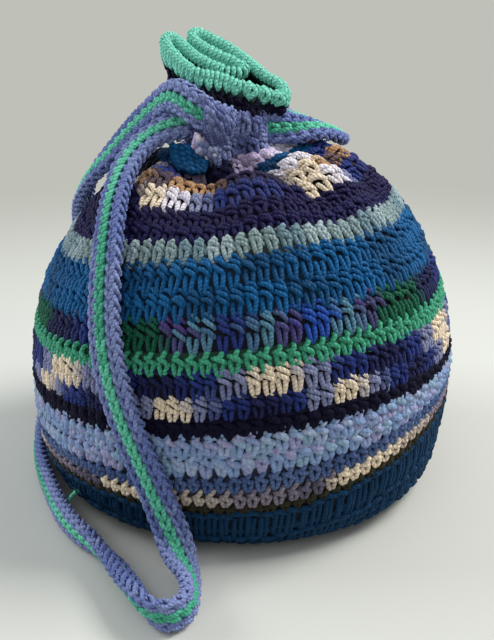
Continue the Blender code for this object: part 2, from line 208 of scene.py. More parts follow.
# Middle of the strap and the direction of its face, once round from the neck
ROUTE = [
    ((-3.0, -2.5, 213.0), (0.0, -1.0, 0.1)),
    ((-15.0, -3.5, 213.5), (-0.02, -0.94, 0.33)),
    ((-27.0, -6.0, 214.0), (-0.06, -0.87, 0.48)),
    ((-38.0, -10.0, 212.0), (-0.12, -0.7, 0.7)),
    ((-48.0, -14.0, 207.5), (-0.3, -0.45, 0.84)),
    ((-56.0, -20.0, 201.5), (-0.42, -0.48, 0.77)),
    ((-61.8, -30.0, 194.0), (-0.52, -0.52, 0.68)),
    ((-65.5, -48.0, 183.5), (-0.58, -0.58, 0.56)),
    ((-66.5, -68.0, 173.0), (-0.6, -0.64, 0.47)),
    ((-67.0, -83.5, 160.0), (-0.58, -0.7, 0.42)),
    ((-67.7, -95.5, 141.4), (-0.54, -0.75, 0.38)),
    ((-66.8, -104.5, 122.8), (-0.49, -0.82, 0.28)),
    ((-63.8, -111.0, 104.3), (-0.42, -0.88, 0.15)),
    ((-58.5, -115.8, 87.0), (-0.4, -0.91, 0.05)),
    ((-50.8, -119.6, 66.5), (-0.36, -0.93, 0.05)),
    ((-43.0, -121.6, 46.0), (-0.3, -0.94, 0.15)),
    ((-37.0, -123.5, 29.5), (-0.1, -0.88, 0.45)),
    ((-32.5, -128.5, 17.5), (0.15, -0.55, 0.8)),
    ((-29.0, -138.0, 12.2), (0.5, -0.3, 0.8)),
    ((-25.7, -150.0, 11.0), (0.8, -0.15, 0.55)),
    ((-24.0, -162.0, 11.0), (0.96, -0.1, 0.25)),
    ((-25.2, -172.5, 11.0), (0.8, -0.55, 0.05)),
    ((-32.0, -179.5, 11.0), (0.1, -0.98, -0.1)),
    ((-40.0, -177.0, 11.0), (-0.5, -0.8, -0.25)),
    ((-47.5, -166.0, 10.6), (-0.75, -0.42, -0.5)),
    ((-56.0, -148.5, 9.4), (-0.62, -0.35, -0.7)),
    ((-65.5, -131.0, 9.8), (-0.65, -0.4, -0.62)),
    ((-76.5, -116.5, 10.8), (-0.72, -0.6, -0.35)),
    ((-88.0, -103.0, 11.0), (-0.76, -0.62, -0.12)),
    ((-99.0, -84.5, 11.0), (-0.84, -0.54, 0.0)),
    ((-110.0, -58.0, 11.0), (-0.9, -0.42, 0.0)),
    ((-119.5, -30.5, 11.0), (-0.96, -0.28, 0.0)),
    ((-125.5, 0.0, 11.0), (-1.0, -0.05, 0.0)),
    ((-126.5, 25.0, 17.0), (-0.98, 0.2, 0.0)),
    ((-119.5, 52.0, 34.0), (-0.9, 0.43, 0.0)),
    ((-111.0, 70.0, 56.0), (-0.84, 0.54, 0.05)),
    ((-106.0, 77.0, 82.0), (-0.8, 0.59, 0.1)),
    ((-103.0, 76.5, 106.0), (-0.78, 0.58, 0.22)),
    ((-101.0, 69.0, 127.0), (-0.78, 0.5, 0.38)),
    ((-99.0, 54.5, 147.5), (-0.82, 0.32, 0.48)),
    ((-95.0, 37.0, 163.5), (-0.83, 0.1, 0.54)),
    ((-87.0, 24.0, 178.0), (-0.78, -0.15, 0.6)),
    ((-76.5, 17.0, 190.0), (-0.72, -0.36, 0.59)),
    ((-61.5, 12.5, 207.0), (-0.62, -0.5, 0.6)),
    ((-47.5, 6.0, 221.0), (-0.55, -0.6, 0.58)),
    ((-38.5, -2.0, 228.5), (-0.6, -0.68, 0.42)),
    ((-31.0, -11.5, 229.0), (-0.65, -0.74, 0.2)),
    ((-22.8, -19.0, 224.5), (-0.42, -0.9, 0.12)),
    ((-13.5, -19.0, 219.0), (0.1, -0.98, 0.1)),
    ((-3.8, -12.8, 215.5), (0.35, -0.92, 0.1)),
    ((7.0, -8.3, 213.5), (0.15, -0.98, 0.1)),
    ((20.0, -7.2, 212.7), (0.05, -0.97, 0.22)),
    ((32.0, -5.5, 211.0), (0.05, -0.7, 0.7)),
    ((43.0, -1.0, 209.8), (0.1, -0.35, 0.93)),
    ((51.5, 8.0, 206.0), (0.28, -0.12, 0.94)),
    ((55.5, 20.0, 202.0), (0.4, 0.08, 0.9)),
    ((53.0, 31.5, 201.0), (0.3, 0.2, 0.93)),
    ((44.0, 37.5, 204.0), (0.1, 0.12, 0.98)),
    ((34.5, 33.5, 208.0), (0.2, -0.15, 0.97)),
    ((26.0, 25.5, 210.5), (0.5, -0.55, 0.65)),
    ((17.5, 14.5, 212.5), (0.65, -0.75, 0.2)),
    ((8.0, 3.0, 213.0), (0.5, -0.85, 0.1)),
]

# Yarn colours, as screen values
TEAL = (0, 50, 84)
OLIVE = (52, 48, 16)
CREAM = (236, 218, 192)
GREY_MAUVE = (134, 124, 140)
DENIM = (86, 106, 152)
PALE_BLUE = (130, 153, 192)
LILAC = (150, 150, 186)
SEA = (134, 162, 186)
INK = (8, 5, 34)
ROYAL = (30, 48, 118)
NAVY = (16, 22, 72)
GREY_LAVENDER = (130, 136, 172)
MINT = (88, 184, 146)
GREEN = (4, 88, 62)
PURPLE = (72, 56, 118)
SLATE = (84, 132, 156)
BRIGHT_BLUE = (32, 78, 170)
AZURE = (0, 92, 148)
AZURE_DEEP = (0, 72, 118)
SAGE = (134, 156, 158)
INDIGO = (18, 12, 70)
TAN = (176, 136, 98)
BROWN = (88, 66, 62)
WHITE = (232, 226, 236)
PINK = (190, 174, 206)
LAVENDER = (124, 134, 180)
LAVENDER_DEEP = (92, 102, 152)

# Each yarn's colour repeat: share of the repeat at which a colour starts
YARNS = {
    "teal": [(0.0, TEAL), (0.5, (0, 44, 76))],
    "olive": [(0.0, OLIVE), (0.5, (38, 34, 14))],
    "stone": [(0.0, CREAM), (0.32, (196, 180, 166)), (0.5, GREY_MAUVE), (0.85, (96, 92, 112))],
    "denim": [(0.0, DENIM), (0.5, (72, 94, 142))],
    "pastel": [(0.0, PALE_BLUE), (0.25, LILAC), (0.45, PALE_BLUE), (0.6, SEA), (0.8, (156, 170, 198))],
    "navy": [(0.0, INK), (0.5, (7, 7, 30))],
    "ocean": [
        (0.0, CREAM), (0.2, GREY_LAVENDER), (0.32, ROYAL), (0.5, NAVY), (0.72, ROYAL), (0.86, GREY_LAVENDER),
    ],
    "mint": [(0.0, MINT), (0.5, (64, 160, 126))],
    "mixed": [
        (0.0, GREEN), (0.10, PURPLE), (0.135, SLATE), (0.19, ROYAL), (0.295, SLATE), (0.33, PURPLE),
        (0.365, BRIGHT_BLUE), (0.465, SLATE), (0.515, PURPLE), (0.56, GREEN), (0.73, NAVY), (0.86, ROYAL),
    ],
    "azure": [(0.0, AZURE), (0.4, AZURE_DEEP), (0.7, (0, 82, 134))],
    # azure_neck: the near-black colour at the ends of this repeat falls at the front middle of the round, in
    # the hollow before the neck: painted shade
    "azure_neck": [(0.0, (10, 10, 34)), (0.07, AZURE), (0.5, AZURE_DEEP), (0.92, (10, 10, 34))],
    "sage": [(0.0, SAGE), (0.4, (112, 140, 150)), (0.7, (158, 178, 182))],
    "indigo": [(0.0, INDIGO), (0.5, (13, 9, 52))],
    "drift": [
        (0.0, (40, 50, 110)), (0.3, INDIGO), (0.44, CREAM), (0.6, WHITE),
        (0.76, GREY_LAVENDER), (0.88, ROYAL),
    ],
    "sand": [
        (0.0, (34, 26, 64)), (0.33, CREAM), (0.45, TAN), (0.57, (60, 52, 76)),
        (0.66, TAN), (0.93, BROWN),
    ],
    "ink": [
        (0.0, (12, 9, 34)), (0.24, WHITE), (0.42, CREAM), (0.52, ROYAL),
        (0.68, BROWN), (0.8, (18, 14, 48)),
    ],
    "cloud": [(0.0, WHITE), (0.35, PINK), (0.6, LAVENDER), (0.85, (180, 190, 226))],
    # cloud_neck: the near-black colour at the ends of this repeat falls at the front middle of the round, in
    # the hollow before the neck: painted shade
    "cloud_neck": [
        (0.0, (26, 26, 56)), (0.06, PINK), (0.14, WHITE), (0.35, LAVENDER),
        (0.6, PINK), (0.8, WHITE), (0.88, PINK), (0.94, (26, 26, 56)),
    ],
    "rim_mint": [(0.0, (128, 214, 192)), (0.5, (98, 192, 168))],
    "lavender": [(0.0, LAVENDER), (0.5, LAVENDER_DEEP)],
    "strap_lavender": [(0.0, (132, 146, 196)), (0.5, (104, 120, 178))],
    "strap_mint": [(0.0, (104, 204, 172)), (0.5, (76, 176, 144))],
}
# Colour of the cloth seen behind a yarn of many colours, darkened below as painted shade in the gaps between
# stitches
GAP_SHADE_COLOURS = {"ocean": NAVY, "mixed": NAVY, "drift": NAVY, "sand": NAVY, "ink": INK, "stone": GREY_MAUVE}
# Scale that darkens the cloth behind every yarn: painted shade in the gaps between stitches and inside the
# pouch
GAP_SHADE_SCALE = 0.14
# How fluffy a yarn is, from 0 to 1
WOOLLY = {"teal": 0.4, "pastel": 1.0, "navy": 0.6, "cloud": 1.0, "cloud_neck": 0.9}
# Stretch of its share of the repeat over which a colour is held
HOLD_FROM = 0.25
HOLD_TO = 0.85
# Plies of the yarn, their twist in radians for each millimetre, and the
# fineness of its speckles
PLIES = 2
TWIST = 3.4
SPECKLE_SCALE = 420.0


def linear(colour):
    """Screen colour, 0 to 255, as the linear values that Blender takes."""
    c = np.asarray(colour, float) / 255.0
    low = c / 12.92
    high = ((c + 0.055) / 1.055) ** 2.4
    return tuple(float(x) for x in np.where(c <= 0.04045, low, high))


def smoothstep(x):
    """Ease from 0 to 1."""
    x = np.clip(x, 0.0, 1.0)
    return x * x * (3.0 - 2.0 * x)


def curve_through(points, per, closed):
    """Catmull-Rom curve through points."""
    p = np.asarray(points, float)
    if closed:
        q = np.vstack([p[-1:], p, p[:2]])
    else:
        q = np.vstack([2 * p[:1] - p[1:2], p, 2 * p[-1:] - p[-2:-1]])
    t = (np.arange(per) / per)[None, :, None]
    a, b, c, d = (q[k : len(q) - 3 + k][:, None, :] for k in range(4))
    bend = (2 * a - 5 * b + 4 * c - d) * t**2 + (3 * b - a - 3 * c + d) * t**3
    curve = (0.5 * (2 * b + (c - a) * t + bend)).reshape(-1, p.shape[1])
    return curve if closed else np.vstack([curve, p[-1:]])


def lengths_along(line):
    """Distance from the line's start to each of its points."""
    return np.concatenate([[0.0], np.cumsum(np.linalg.norm(np.diff(line, axis=0), axis=1))])


PROFILE_STEPS = 16
RIM_STEPS = 12
PROFILE = curve_through([(0.0, 0.0)] + [(r[4], r[5]) for r in ROUNDS], PROFILE_STEPS, False)
PROFILE_AT = np.arange(len(PROFILE)) / PROFILE_STEPS
PROFILE_RUN = lengths_along(PROFILE)
RIM_LINE = curve_through(RIM, RIM_STEPS, True) * RIM_SCALE
RIM_LINE = np.vstack([RIM_LINE, RIM_LINE[:1]])
RIM_SHARE = lengths_along(RIM_LINE) / lengths_along(RIM_LINE)[-1]


def bump(turn, radius, angle, spread, at_radius, reach, height):
    """Height of one soft fold or hollow on the shoulder."""
    off = (turn - math.radians(angle) + math.pi) % (2 * math.pi) - math.pi
    return height * np.exp(-((off / spread) ** 2) - ((radius - at_radius) / reach) ** 2)


def cloth(u, v):
    """Middle of the pouch's wall at u turns round and v rounds up."""
    u = np.mod(u, 1.0)
    radius = np.interp(v, PROFILE_AT, PROFILE[:, 0])
    height = np.interp(v, PROFILE_AT, PROFILE[:, 1])
    turn = 2 * math.pi * u
    below = v < WAIST_ROUND
    gather = np.where(below, (GATHER_RADIUS - radius) / (GATHER_RADIUS - NECK_RADIUS), 1.0)
    gather = np.where(v < GATHER_ROUND - 1, 0.0, np.clip(gather, 0.0, 1.0))
    free = 1.0 - gather
    swirl = np.interp(u, [s[0] for s in SWIRL], [s[1] for s in SWIRL]) * 2 * math.pi
    wave = np.cos(NECK_PLEATS * swirl + PLEAT_PHASE)
    neck_radius = NECK_RADIUS + NECK_PLEAT_DEPTH * wave
    neck = np.stack([np.cos(swirl) * neck_radius, np.sin(swirl) * neck_radius], -1) + np.array(NECK_CENTRE)
    mouth = np.stack([np.interp(u, RIM_SHARE, RIM_LINE[:, k]) for k in (0, 1)], -1)
    share = np.clip((height - WAIST_HEIGHT) / (RIM_HEIGHT - WAIST_HEIGHT), 0.0, 1.0)
    ease = smoothstep(np.where(below, 0.0, share))[..., None]
    top = neck * (1 - ease) + mouth * ease
    ring = np.stack([np.cos(turn), np.sin(turn)], -1)
    spread = np.where(gather > 0.0, GATHER_RADIUS, radius)
    plan = ring * (spread * free)[..., None] + top * gather[..., None]
    plan[..., 0] += (LEAN_FOOT - LEAN_CHANGE * smoothstep((height - LEAN_FROM) / LEAN_OVER)) * free
    slope = ease[..., 0] * (MOUTH_BACK_RISE * plan[..., 1] - MOUTH_LEFT_RISE * plan[..., 0])
    up = smoothstep((height - LIFT_FROM) / LIFT_OVER) * free
    lift = SIDE_LIFT * np.cos(turn) * up - FRONT_LIFT * np.cos(2 * turn) * up
    lift = lift + PLEAT_LIFT * wave * gather * free * below
    shoulder = below & (height > SHOULDER_HEIGHT)
    for fold in SHOULDER_FOLDS:
        lift = lift + shoulder * bump(turn, radius, *fold)
    return np.concatenate([plan, (height + WALL / 2 + slope + lift)[..., None]], -1)


# How much further up the wall a round sits on the right and on the left than
# at the front, against its height at the front
RIGHT_RISE = [(0.0, 24.0), (31.0, 24.0), (40.0, 20.0), (50.0, 16.0), (61.0, 10.0), (72.0, 3.0), (80.0, 0.0)]
LEFT_RISE = [(0.0, 3.0), (30.0, 8.0), (80.0, 8.5), (116.0, 5.0), (150.0, 0.0)]


def slid(u, v):
    """Move rounds along the wall, higher at the sides, as the bag leans."""
    height = np.interp(v, PROFILE_AT, PROFILE[:, 1])
    side = np.cos(2 * math.pi * u)
    right = np.interp(height, *zip(*RIGHT_RISE)) * np.clip(side, 0.0, None) ** 2
    left = np.interp(height, *zip(*LEFT_RISE)) * np.clip(-side, 0.0, None) ** 2
    run = np.interp(v, PROFILE_AT, PROFILE_RUN) + right + left
    moved = np.interp(run, PROFILE_RUN, PROFILE_AT)
    return np.where(v < PROFILE_AT[-1], moved, v)


class Grid:
    """The wall's middle and its outward direction, looked up on a fine grid."""

    def __init__(self, across=1080, per_round=12):
        self.across = across
        self.per_round = per_round
        v = np.arange(len(ROUNDS) * per_round + 1) / per_round
        u = np.arange(across) / across
        uu, vv = np.meshgrid(u, v)
        self.place = cloth(uu, vv)
        along = np.roll(self.place, -1, axis=1) - np.roll(self.place, 1, axis=1)
        upward = np.gradient(self.place, axis=0)
        normal = np.cross(along, upward)
        normal[0] = (0.0, 0.0, -1.0)
        for _ in range(6):
            normal = normal + np.roll(normal, 1, axis=1) + np.roll(normal, -1, axis=1)
            normal[1:-1] = normal[1:-1] + normal[2:] + normal[:-2]
            normal /= np.linalg.norm(normal, axis=2)[..., None] + 1e-12
        self.normal = normal

    def look_up(self, table, u, v):
        """Value of a table of the grid between its points."""
        x = np.mod(u, 1.0) * self.across
        y = np.clip(v * self.per_round, 0.0, table.shape[0] - 1.001)
        i = np.floor(x).astype(int)
        j = np.floor(y).astype(int)
        fx = (x - i)[..., None]
        fy = (y - j)[..., None]
        k = (i + 1) % self.across
        i = i % self.across
        low = table[j, i] * (1 - fx) + table[j, k] * fx
        high = table[j + 1, i] * (1 - fx) + table[j + 1, k] * fx
        return low * (1 - fy) + high * fy

    def at(self, u, v, out):
        """Points out millimetres outside the wall's middle, and their normals."""
        normal = self.look_up(self.normal, u, v)
        over = np.clip(v - len(ROUNDS), 0.0, None)[..., None]
        rise = np.array([0.0, 0.0, TOP_RISE]) * over
        return self.look_up(self.place, u, v) + normal * out[..., None] + rise, normal


def tube_mesh(name, lines, normals, radius, dye, sides=6, flat=1.0):
    """One mesh of many yarn strands. lines is strands by samples by 3."""
    strands, samples, _ = lines.shape
    forward = np.gradient(lines, axis=1)
    forward /= np.linalg.norm(forward, axis=2)[..., None] + 1e-9
    side = np.cross(forward, normals)
    side /= np.linalg.norm(side, axis=2)[..., None] + 1e-9
    out = np.cross(side, forward)
    angle = np.arange(sides) / sides * 2 * math.pi
    radius = np.broadcast_to(radius, (strands, samples))[..., None, None]
    round_side = side[:, :, None, :] * np.cos(angle)[None, None, :, None]
    round_out = out[:, :, None, :] * (flat * np.sin(angle))[None, None, :, None]
    points = lines[:, :, None, :] + radius * (round_side + round_out)
    points[..., 2] = np.maximum(points[..., 2], FLOOR_GAP)
    run = np.linalg.norm(np.diff(lines, axis=1), axis=2)
    run = np.concatenate([np.zeros((strands, 1)), np.cumsum(run, axis=1)], axis=1)
    base = np.arange(strands)[:, None, None] * samples * sides
    row = np.arange(samples - 1)[None, :, None] * sides
    col = np.arange(sides)[None, None, :]
    nxt = (col + 1) % sides
    low = base + row
    high = low + sides
    quads = np.stack([low + col, low + nxt, high + nxt, high + col], -1).reshape(-1, 4)
    start = np.broadcast_to(run[:, :-1, None], (strands, samples - 1, sides))
    end = np.broadcast_to(run[:, 1:, None], (strands, samples - 1, sides))
    near = np.broadcast_to(col / sides, (strands, samples - 1, sides))
    far = near + 1.0 / sides
    uv = np.stack([start, near, start, far, end, far, end, near], -1).reshape(-1, 2)
    mesh = bpy.data.meshes.new(name)
    mesh.vertices.add(strands * samples * sides)
    mesh.vertices.foreach_set("co", (points * MM).astype(np.float32).ravel())
    mesh.loops.add(len(quads) * 4)
    mesh.loops.foreach_set("vertex_index", quads.astype(np.int32).ravel())
    mesh.polygons.add(len(quads))
    mesh.polygons.foreach_set("loop_start", np.arange(0, len(quads) * 4, 4, dtype=np.int32))
    mesh.update(calc_edges=True)
    layer = mesh.uv_layers.new(name="ply")
    layer.data.foreach_set("uv", uv.astype(np.float32).ravel())
    colour = mesh.attributes.new("dye", "FLOAT", "POINT")
    dye = np.broadcast_to(np.asarray(dye)[:, None, None], (strands, samples, sides))
    colour.data.foreach_set("value", dye.astype(np.float32).ravel())
    mesh.polygons.foreach_set("use_smooth", np.ones(len(quads), dtype=bool))
    mesh.update()
    return mesh


def node(tree, kind, **inputs):
    """Add a shader node and set its inputs by name or number."""
    made = tree.nodes.new(kind)
    for key, value in inputs.items():
        socket = made.inputs[int(key[1:])] if key[0] == "i" and key[1:].isdigit() else made.inputs[key]
        if isinstance(value, bpy.types.NodeSocket):
            tree.links.new(value, socket)
        else:
            socket.default_value = value
    return made


def maths(tree, operation, *values):
    """Add a math node and give its result."""
    made = node(tree, "ShaderNodeMath", **{"i%d" % k: value for k, value in enumerate(values)})
    made.operation = operation
    return made.outputs[0]


def remap(tree, value, start, end, low, high):
    """Add a node that maps start to end onto low to high, and give its result."""
    made = node(tree, "ShaderNodeMapRange", Value=value)
    for name, number in (("From Min", start), ("From Max", end), ("To Min", low), ("To Max", high)):
        made.inputs[name].default_value = number
    return made.outputs["Result"]


def dye_ramp(tree, stops, painted_shade_scale):
    """Colours of one dye repeat, each held for a stretch, then blended, and all darkened by a scale below
    one for painted shade.
    """
    dye = tree.nodes.new("ShaderNodeAttribute")
    dye.attribute_name = "dye"
    ramp = node(tree, "ShaderNodeValToRGB", i0=maths(tree, "FRACT", dye.outputs["Fac"]))
    ramp.color_ramp.interpolation = "LINEAR"
    elements = ramp.color_ramp.elements
    while len(elements) > 1:
        elements.remove(elements[-1])
    first = (*[c * painted_shade_scale for c in linear(stops[0][1])], 1.0)
    elements[0].position = 0.0
    elements[0].color = first
    for index, (at, colour) in enumerate(stops):
        end = stops[index + 1][0] if index + 1 < len(stops) else 1.0
        for share in (HOLD_FROM, HOLD_TO):
            element = elements.new(at + share * (end - at))
            element.color = (*[c * painted_shade_scale for c in linear(colour)], 1.0)
    elements.new(1.0).color = first
    return ramp.outputs["Color"]


def yarn_material(name, stops, woolly=0.0, painted_shade_scale=1.0):
    """Twisted yarn: its dye repeat, its plies with painted shade in their grooves, and a soft sheen."""
    material = bpy.data.materials.new("yarn_" + name)
    material.use_nodes = True
    tree = material.node_tree
    shader = tree.nodes["Principled BSDF"]
    colour = dye_ramp(tree, stops, painted_shade_scale)
    place = tree.nodes.new("ShaderNodeTexCoord")
    speckle = node(tree, "ShaderNodeTexNoise", Vector=place.outputs["Object"],
                   Scale=SPECKLE_SCALE, Detail=2.0)
    uv = tree.nodes.new("ShaderNodeUVMap")
    uv.uv_map = "ply"
    parts = node(tree, "ShaderNodeSeparateXYZ", Vector=uv.outputs["UV"])
    along = maths(tree, "MULTIPLY", parts.outputs["X"], TWIST)
    around = maths(tree, "MULTIPLY", parts.outputs["Y"], PLIES * 2 * math.pi)
    ply = maths(tree, "SINE", maths(tree, "ADD", along, around))
    # Colour darker in the grooves between the plies as painted shade, and a little lighter on their crests
    # as painted highlight
    shade = remap(tree, ply, -1.0, 1.0, 0.70 + 0.20 * woolly, 1.06)
    mottle = remap(tree, speckle.outputs["Fac"], 0.3, 0.7, 0.82, 1.12)
    tint = tree.nodes.new("ShaderNodeVectorMath")
    tint.operation = "SCALE"
    tree.links.new(colour, tint.inputs[0])
    tree.links.new(maths(tree, "MULTIPLY", shade, mottle), tint.inputs["Scale"])
    tree.links.new(tint.outputs[0], shader.inputs["Base Color"])
    height = maths(tree, "MULTIPLY", ply, speckle.outputs["Fac"])
    relief = node(tree, "ShaderNodeBump", Height=height, Strength=0.7 - 0.2 * woolly, Distance=0.0004)
    tree.links.new(relief.outputs["Normal"], shader.inputs["Normal"])
    tree.links.new(colour, shader.inputs["Sheen Tint"])
    shader.inputs["Roughness"].default_value = 0.72 + 0.2 * woolly
    shader.inputs["Specular IOR Level"].default_value = 0.25 - 0.15 * woolly
    shader.inputs["Sheen Weight"].default_value = 0.06 + 0.14 * woolly
    shader.inputs["Sheen Roughness"].default_value = 0.5
    return material


# One loop of each kind of stitch: share of a stitch across, share of the
# round up, and millimetres out from the wall's middle
LEGS = [(-0.26, 0.54, 1.2), (-0.23, 0.34, 2.4), (-0.15, 0.08, 2.3), (-0.03, -0.09, 1.5),
        (0.08, -0.09, 1.5), (0.19, 0.08, 2.3), (0.26, 0.32, 2.4), (0.26, 0.48, 1.2)]
WRAP = [(-0.46, 0.76, 0.6), (-0.28, 0.74, 2.6), (0.02, 0.66, 3.3), (0.28, 0.55, 2.8), (0.42, 0.46, 0.8)]
SECOND = [(-0.40, 0.98, 0.6), (-0.22, 0.95, 2.6), (0.06, 0.86, 3.2), (0.32, 0.74, 2.6), (0.46, 0.64, 0.6)]
CROWN = [(-0.30, 1.12, 0.8), (-0.10, 1.14, 2.2), (0.16, 1.06, 2.6), (0.42, 0.92, 1.2)]
SPUR = [(-0.16, 0.60, 1.6), (-0.06, 0.76, 3.0), (0.06, 0.92, 3.0), (0.14, 1.02, 1.2)]
SHORT_LEGS = [(-0.31, 0.54, 0.8), (-0.26, 0.34, 2.3), (-0.15, 0.08, 2.4), (-0.03, -0.07, 1.6),
              (0.09, -0.07, 1.6), (0.19, 0.08, 2.4), (0.27, 0.30, 2.3), (0.28, 0.46, 0.8)]
NUB = [(-0.44, 0.66, 0.5), (-0.24, 0.68, 2.6), (0.06, 0.58, 3.2), (0.32, 0.46, 2.4), (0.46, 0.38, 0.5)]
LONG_LEGS = [(-0.26, 0.80, 1.0), (-0.25, 0.55, 2.3), (-0.18, 0.22, 2.3), (-0.04, -0.03, 1.5),
             (0.08, -0.03, 1.5), (0.19, 0.22, 2.3), (0.22, 0.55, 2.3), (0.20, 0.78, 1.0)]
BALL = [(-0.26, 0.74, 1.2), (-0.12, 0.90, 3.1), (0.06, 1.02, 3.2), (0.20, 1.00, 1.6)]
POST = [(-0.22, -0.08, 0.8), (-0.24, 0.18, 2.3), (-0.22, 0.52, 2.5), (-0.20, 0.86, 1.2)]
OTHER_POST = [(0.18, -0.08, 0.8), (0.16, 0.18, 2.3), (0.18, 0.52, 2.5), (0.22, 0.86, 1.2)]
BAR = [(-0.56, 0.94, 1.0), (-0.2, 1.0, 2.2), (0.2, 1.0, 2.2), (0.56, 0.94, 1.0)]
HIGH_BAR = [(-0.52, 0.90, 1.6), (-0.22, 1.02, 3.2), (0.2, 0.98, 3.2), (0.50, 0.84, 1.6)]
LOW_BAR = [(-0.55, 0.30, 1.2), (-0.2, 0.34, 2.0), (0.2, 0.34, 2.0), (0.55, 0.30, 1.2)]
HANGING_LEGS = [(-0.28, 0.60, 2.2), (-0.22, 0.42, 2.9), (-0.10, 0.18, 2.9), (0.0, 0.06, 2.2),
                (0.10, 0.18, 2.9), (0.22, 0.42, 2.9), (0.28, 0.60, 2.2)]
OVER = [(0.0, 0.42, 0.6), (0.0, 0.52, 2.0), (0.02, 0.72, 2.6), (0.03, 0.92, 1.9), (0.03, 1.04, 0.1),
        (0.0, 0.92, -1.7), (0.0, 0.70, -2.2), (0.0, 0.45, -1.2)]
# Loops of each kind of stitch, with the radius of their yarn
KINDS = {
    "double": [(LEGS, 1.42), (WRAP, 1.4), (SECOND, 1.35), (CROWN, 1.2)],
    "single": [(SHORT_LEGS, 1.4), (NUB, 1.4), (SPUR, 1.45)],
    "dense": [(SHORT_LEGS, 1.45), (NUB, 1.4), (SECOND, 1.4), (BAR, 1.2)],
    "tall": [(LONG_LEGS, 1.42), (NUB, 1.4), (SECOND, 1.35), (BALL, 1.6)],
    "wool": [(POST, 1.7), (OTHER_POST, 1.6), (HIGH_BAR, 1.6), (LOW_BAR, 1.5)],
    "fuzzy": [(SHORT_LEGS, 1.85), (NUB, 1.8), (WRAP, 1.7), (SPUR, 1.3), (BAR, 1.5)],
    "velvet": [(SHORT_LEGS, 1.9), (LOW_BAR, 1.9), (WRAP, 1.8), (BAR, 1.6)],
}
# The yarn sits this far into the wall, so that the bag keeps its width
SINK = 1.2
# Lean of a stitch over its round's height, and shift from one round to the
# next, both in stitches
STITCH_LEAN = 0.10
STAGGER = 0.37
# Unevenness of a loop's points, for any yarn and added for a fluffy one, and
# its factors across in stitches, up in rounds and out in millimetres
JITTER = 0.042
WOOLLY_JITTER = 0.025
UNEVEN = np.array([1.0, 1.0, 4.0])
# Turns from the right to the middle of the front
FRONT = 0.75
# Unevenness of the dye, for any yarn and added for a fully fluffy one
DYE_BLUR = 0.012
FLUFFY_BLUR = 0.16
RIM_YARN = 1.4


def stitch_lines(grid, index, count, loop, jitter):
    """One loop shape repeated round a round of the pouch."""
    loop = np.array(loop)
    k = np.arange(count)
    wander = RANDOM.normal(0.0, jitter, (count, 1, 3)) * UNEVEN
    bend = RANDOM.normal(0.0, jitter * 0.5, (count, len(loop), 3)) * UNEVEN
    local = loop[None, :, :] + wander + bend
    lean = STITCH_LEAN * (local[..., 1] - 0.5)
    u = (k[:, None] + 0.5 + local[..., 0] + lean + STAGGER * (index % 3)) / count
    v = index + local[..., 1]
    return grid.at(u, slid(u, v), local[..., 2] - SINK)


def round_piece(grid, index, materials):
    """One round of crochet, in its yarn."""
    name, yarn, kind, count, _, _, place, repeat = ROUNDS[index]
    woolly = WOOLLY.get(yarn, 0.0)
    jitter = JITTER + WOOLLY_JITTER * woolly
    blur = DYE_BLUR + FLUFFY_BLUR * (woolly == 1.0)
    strands = []
    if kind == "rim":
        strands += rim_strands(grid, index, count)
    for loop, radius in KINDS.get(kind, []):
        lines, normals = stitch_lines(grid, index, count, loop, jitter)
        strands.append((lines, normals, radius, count))
    meshes = []
    for lines, normals, radius, number in strands:
        stitch = np.arange(len(lines)) * count / number
        dye = (stitch - FRONT * count) / repeat + place + RANDOM.normal(0.0, blur, len(lines))
        thick = np.full(lines.shape[:2], radius)
        if woolly:
            thick = thick * RANDOM.uniform(0.88, 1.15, thick.shape)
        meshes.append(tube_mesh(name, lines, normals, thick, dye))
    return join_meshes("round_" + name, meshes, materials[yarn])


def rim_strands(grid, index, count):
    """Loops laid side by side over the mouth's edge, and the legs below them."""
    bars = count * 2
    lines, normals = stitch_lines(grid, index, bars, OVER, 0.02)
    along = np.roll(lines, -1, axis=0) - np.roll(lines, 1, axis=0)
    normals = along / np.linalg.norm(along, axis=2)[..., None]
    legs, leg_normals = stitch_lines(grid, index, count, HANGING_LEGS, 0.03)
    return [(lines, normals, RIM_YARN, bars), (legs, leg_normals, RIM_YARN, count)]


def link_object(name, data):
    """Object from a mesh or a lamp, put in the scene."""
    obj = bpy.data.objects.new(name, data)
    bpy.context.scene.collection.objects.link(obj)
    return obj


def join_objects(name, objects):
    """Objects joined into the first of them."""
    if len(objects) > 1:
        with bpy.context.temp_override(active_object=objects[0], object=objects[0],
                                       selected_objects=objects, selected_editable_objects=objects):
            bpy.ops.object.join()
    objects[0].name = name
    return objects[0]


def join_meshes(name, meshes, material):
    """One object from meshes of one material."""
    for mesh in meshes:
        mesh.materials.append(material)
    return join_objects(name, [link_object(name, mesh) for mesh in meshes])


# The cloth behind the yarn: how far its two sides lie from the wall's middle,
# its columns and rows, and how far below the mouth's edge it ends, in rounds
CLOTH_SIDES = (0.5, -1.9)
CLOTH_COLUMNS = 200
CLOTH_ROWS = 112
CLOTH_END = 0.35
# Rounds from the base's centre over which the cloth takes up the slide
EASE_FROM = 1.0
EASE_OVER = 4.0


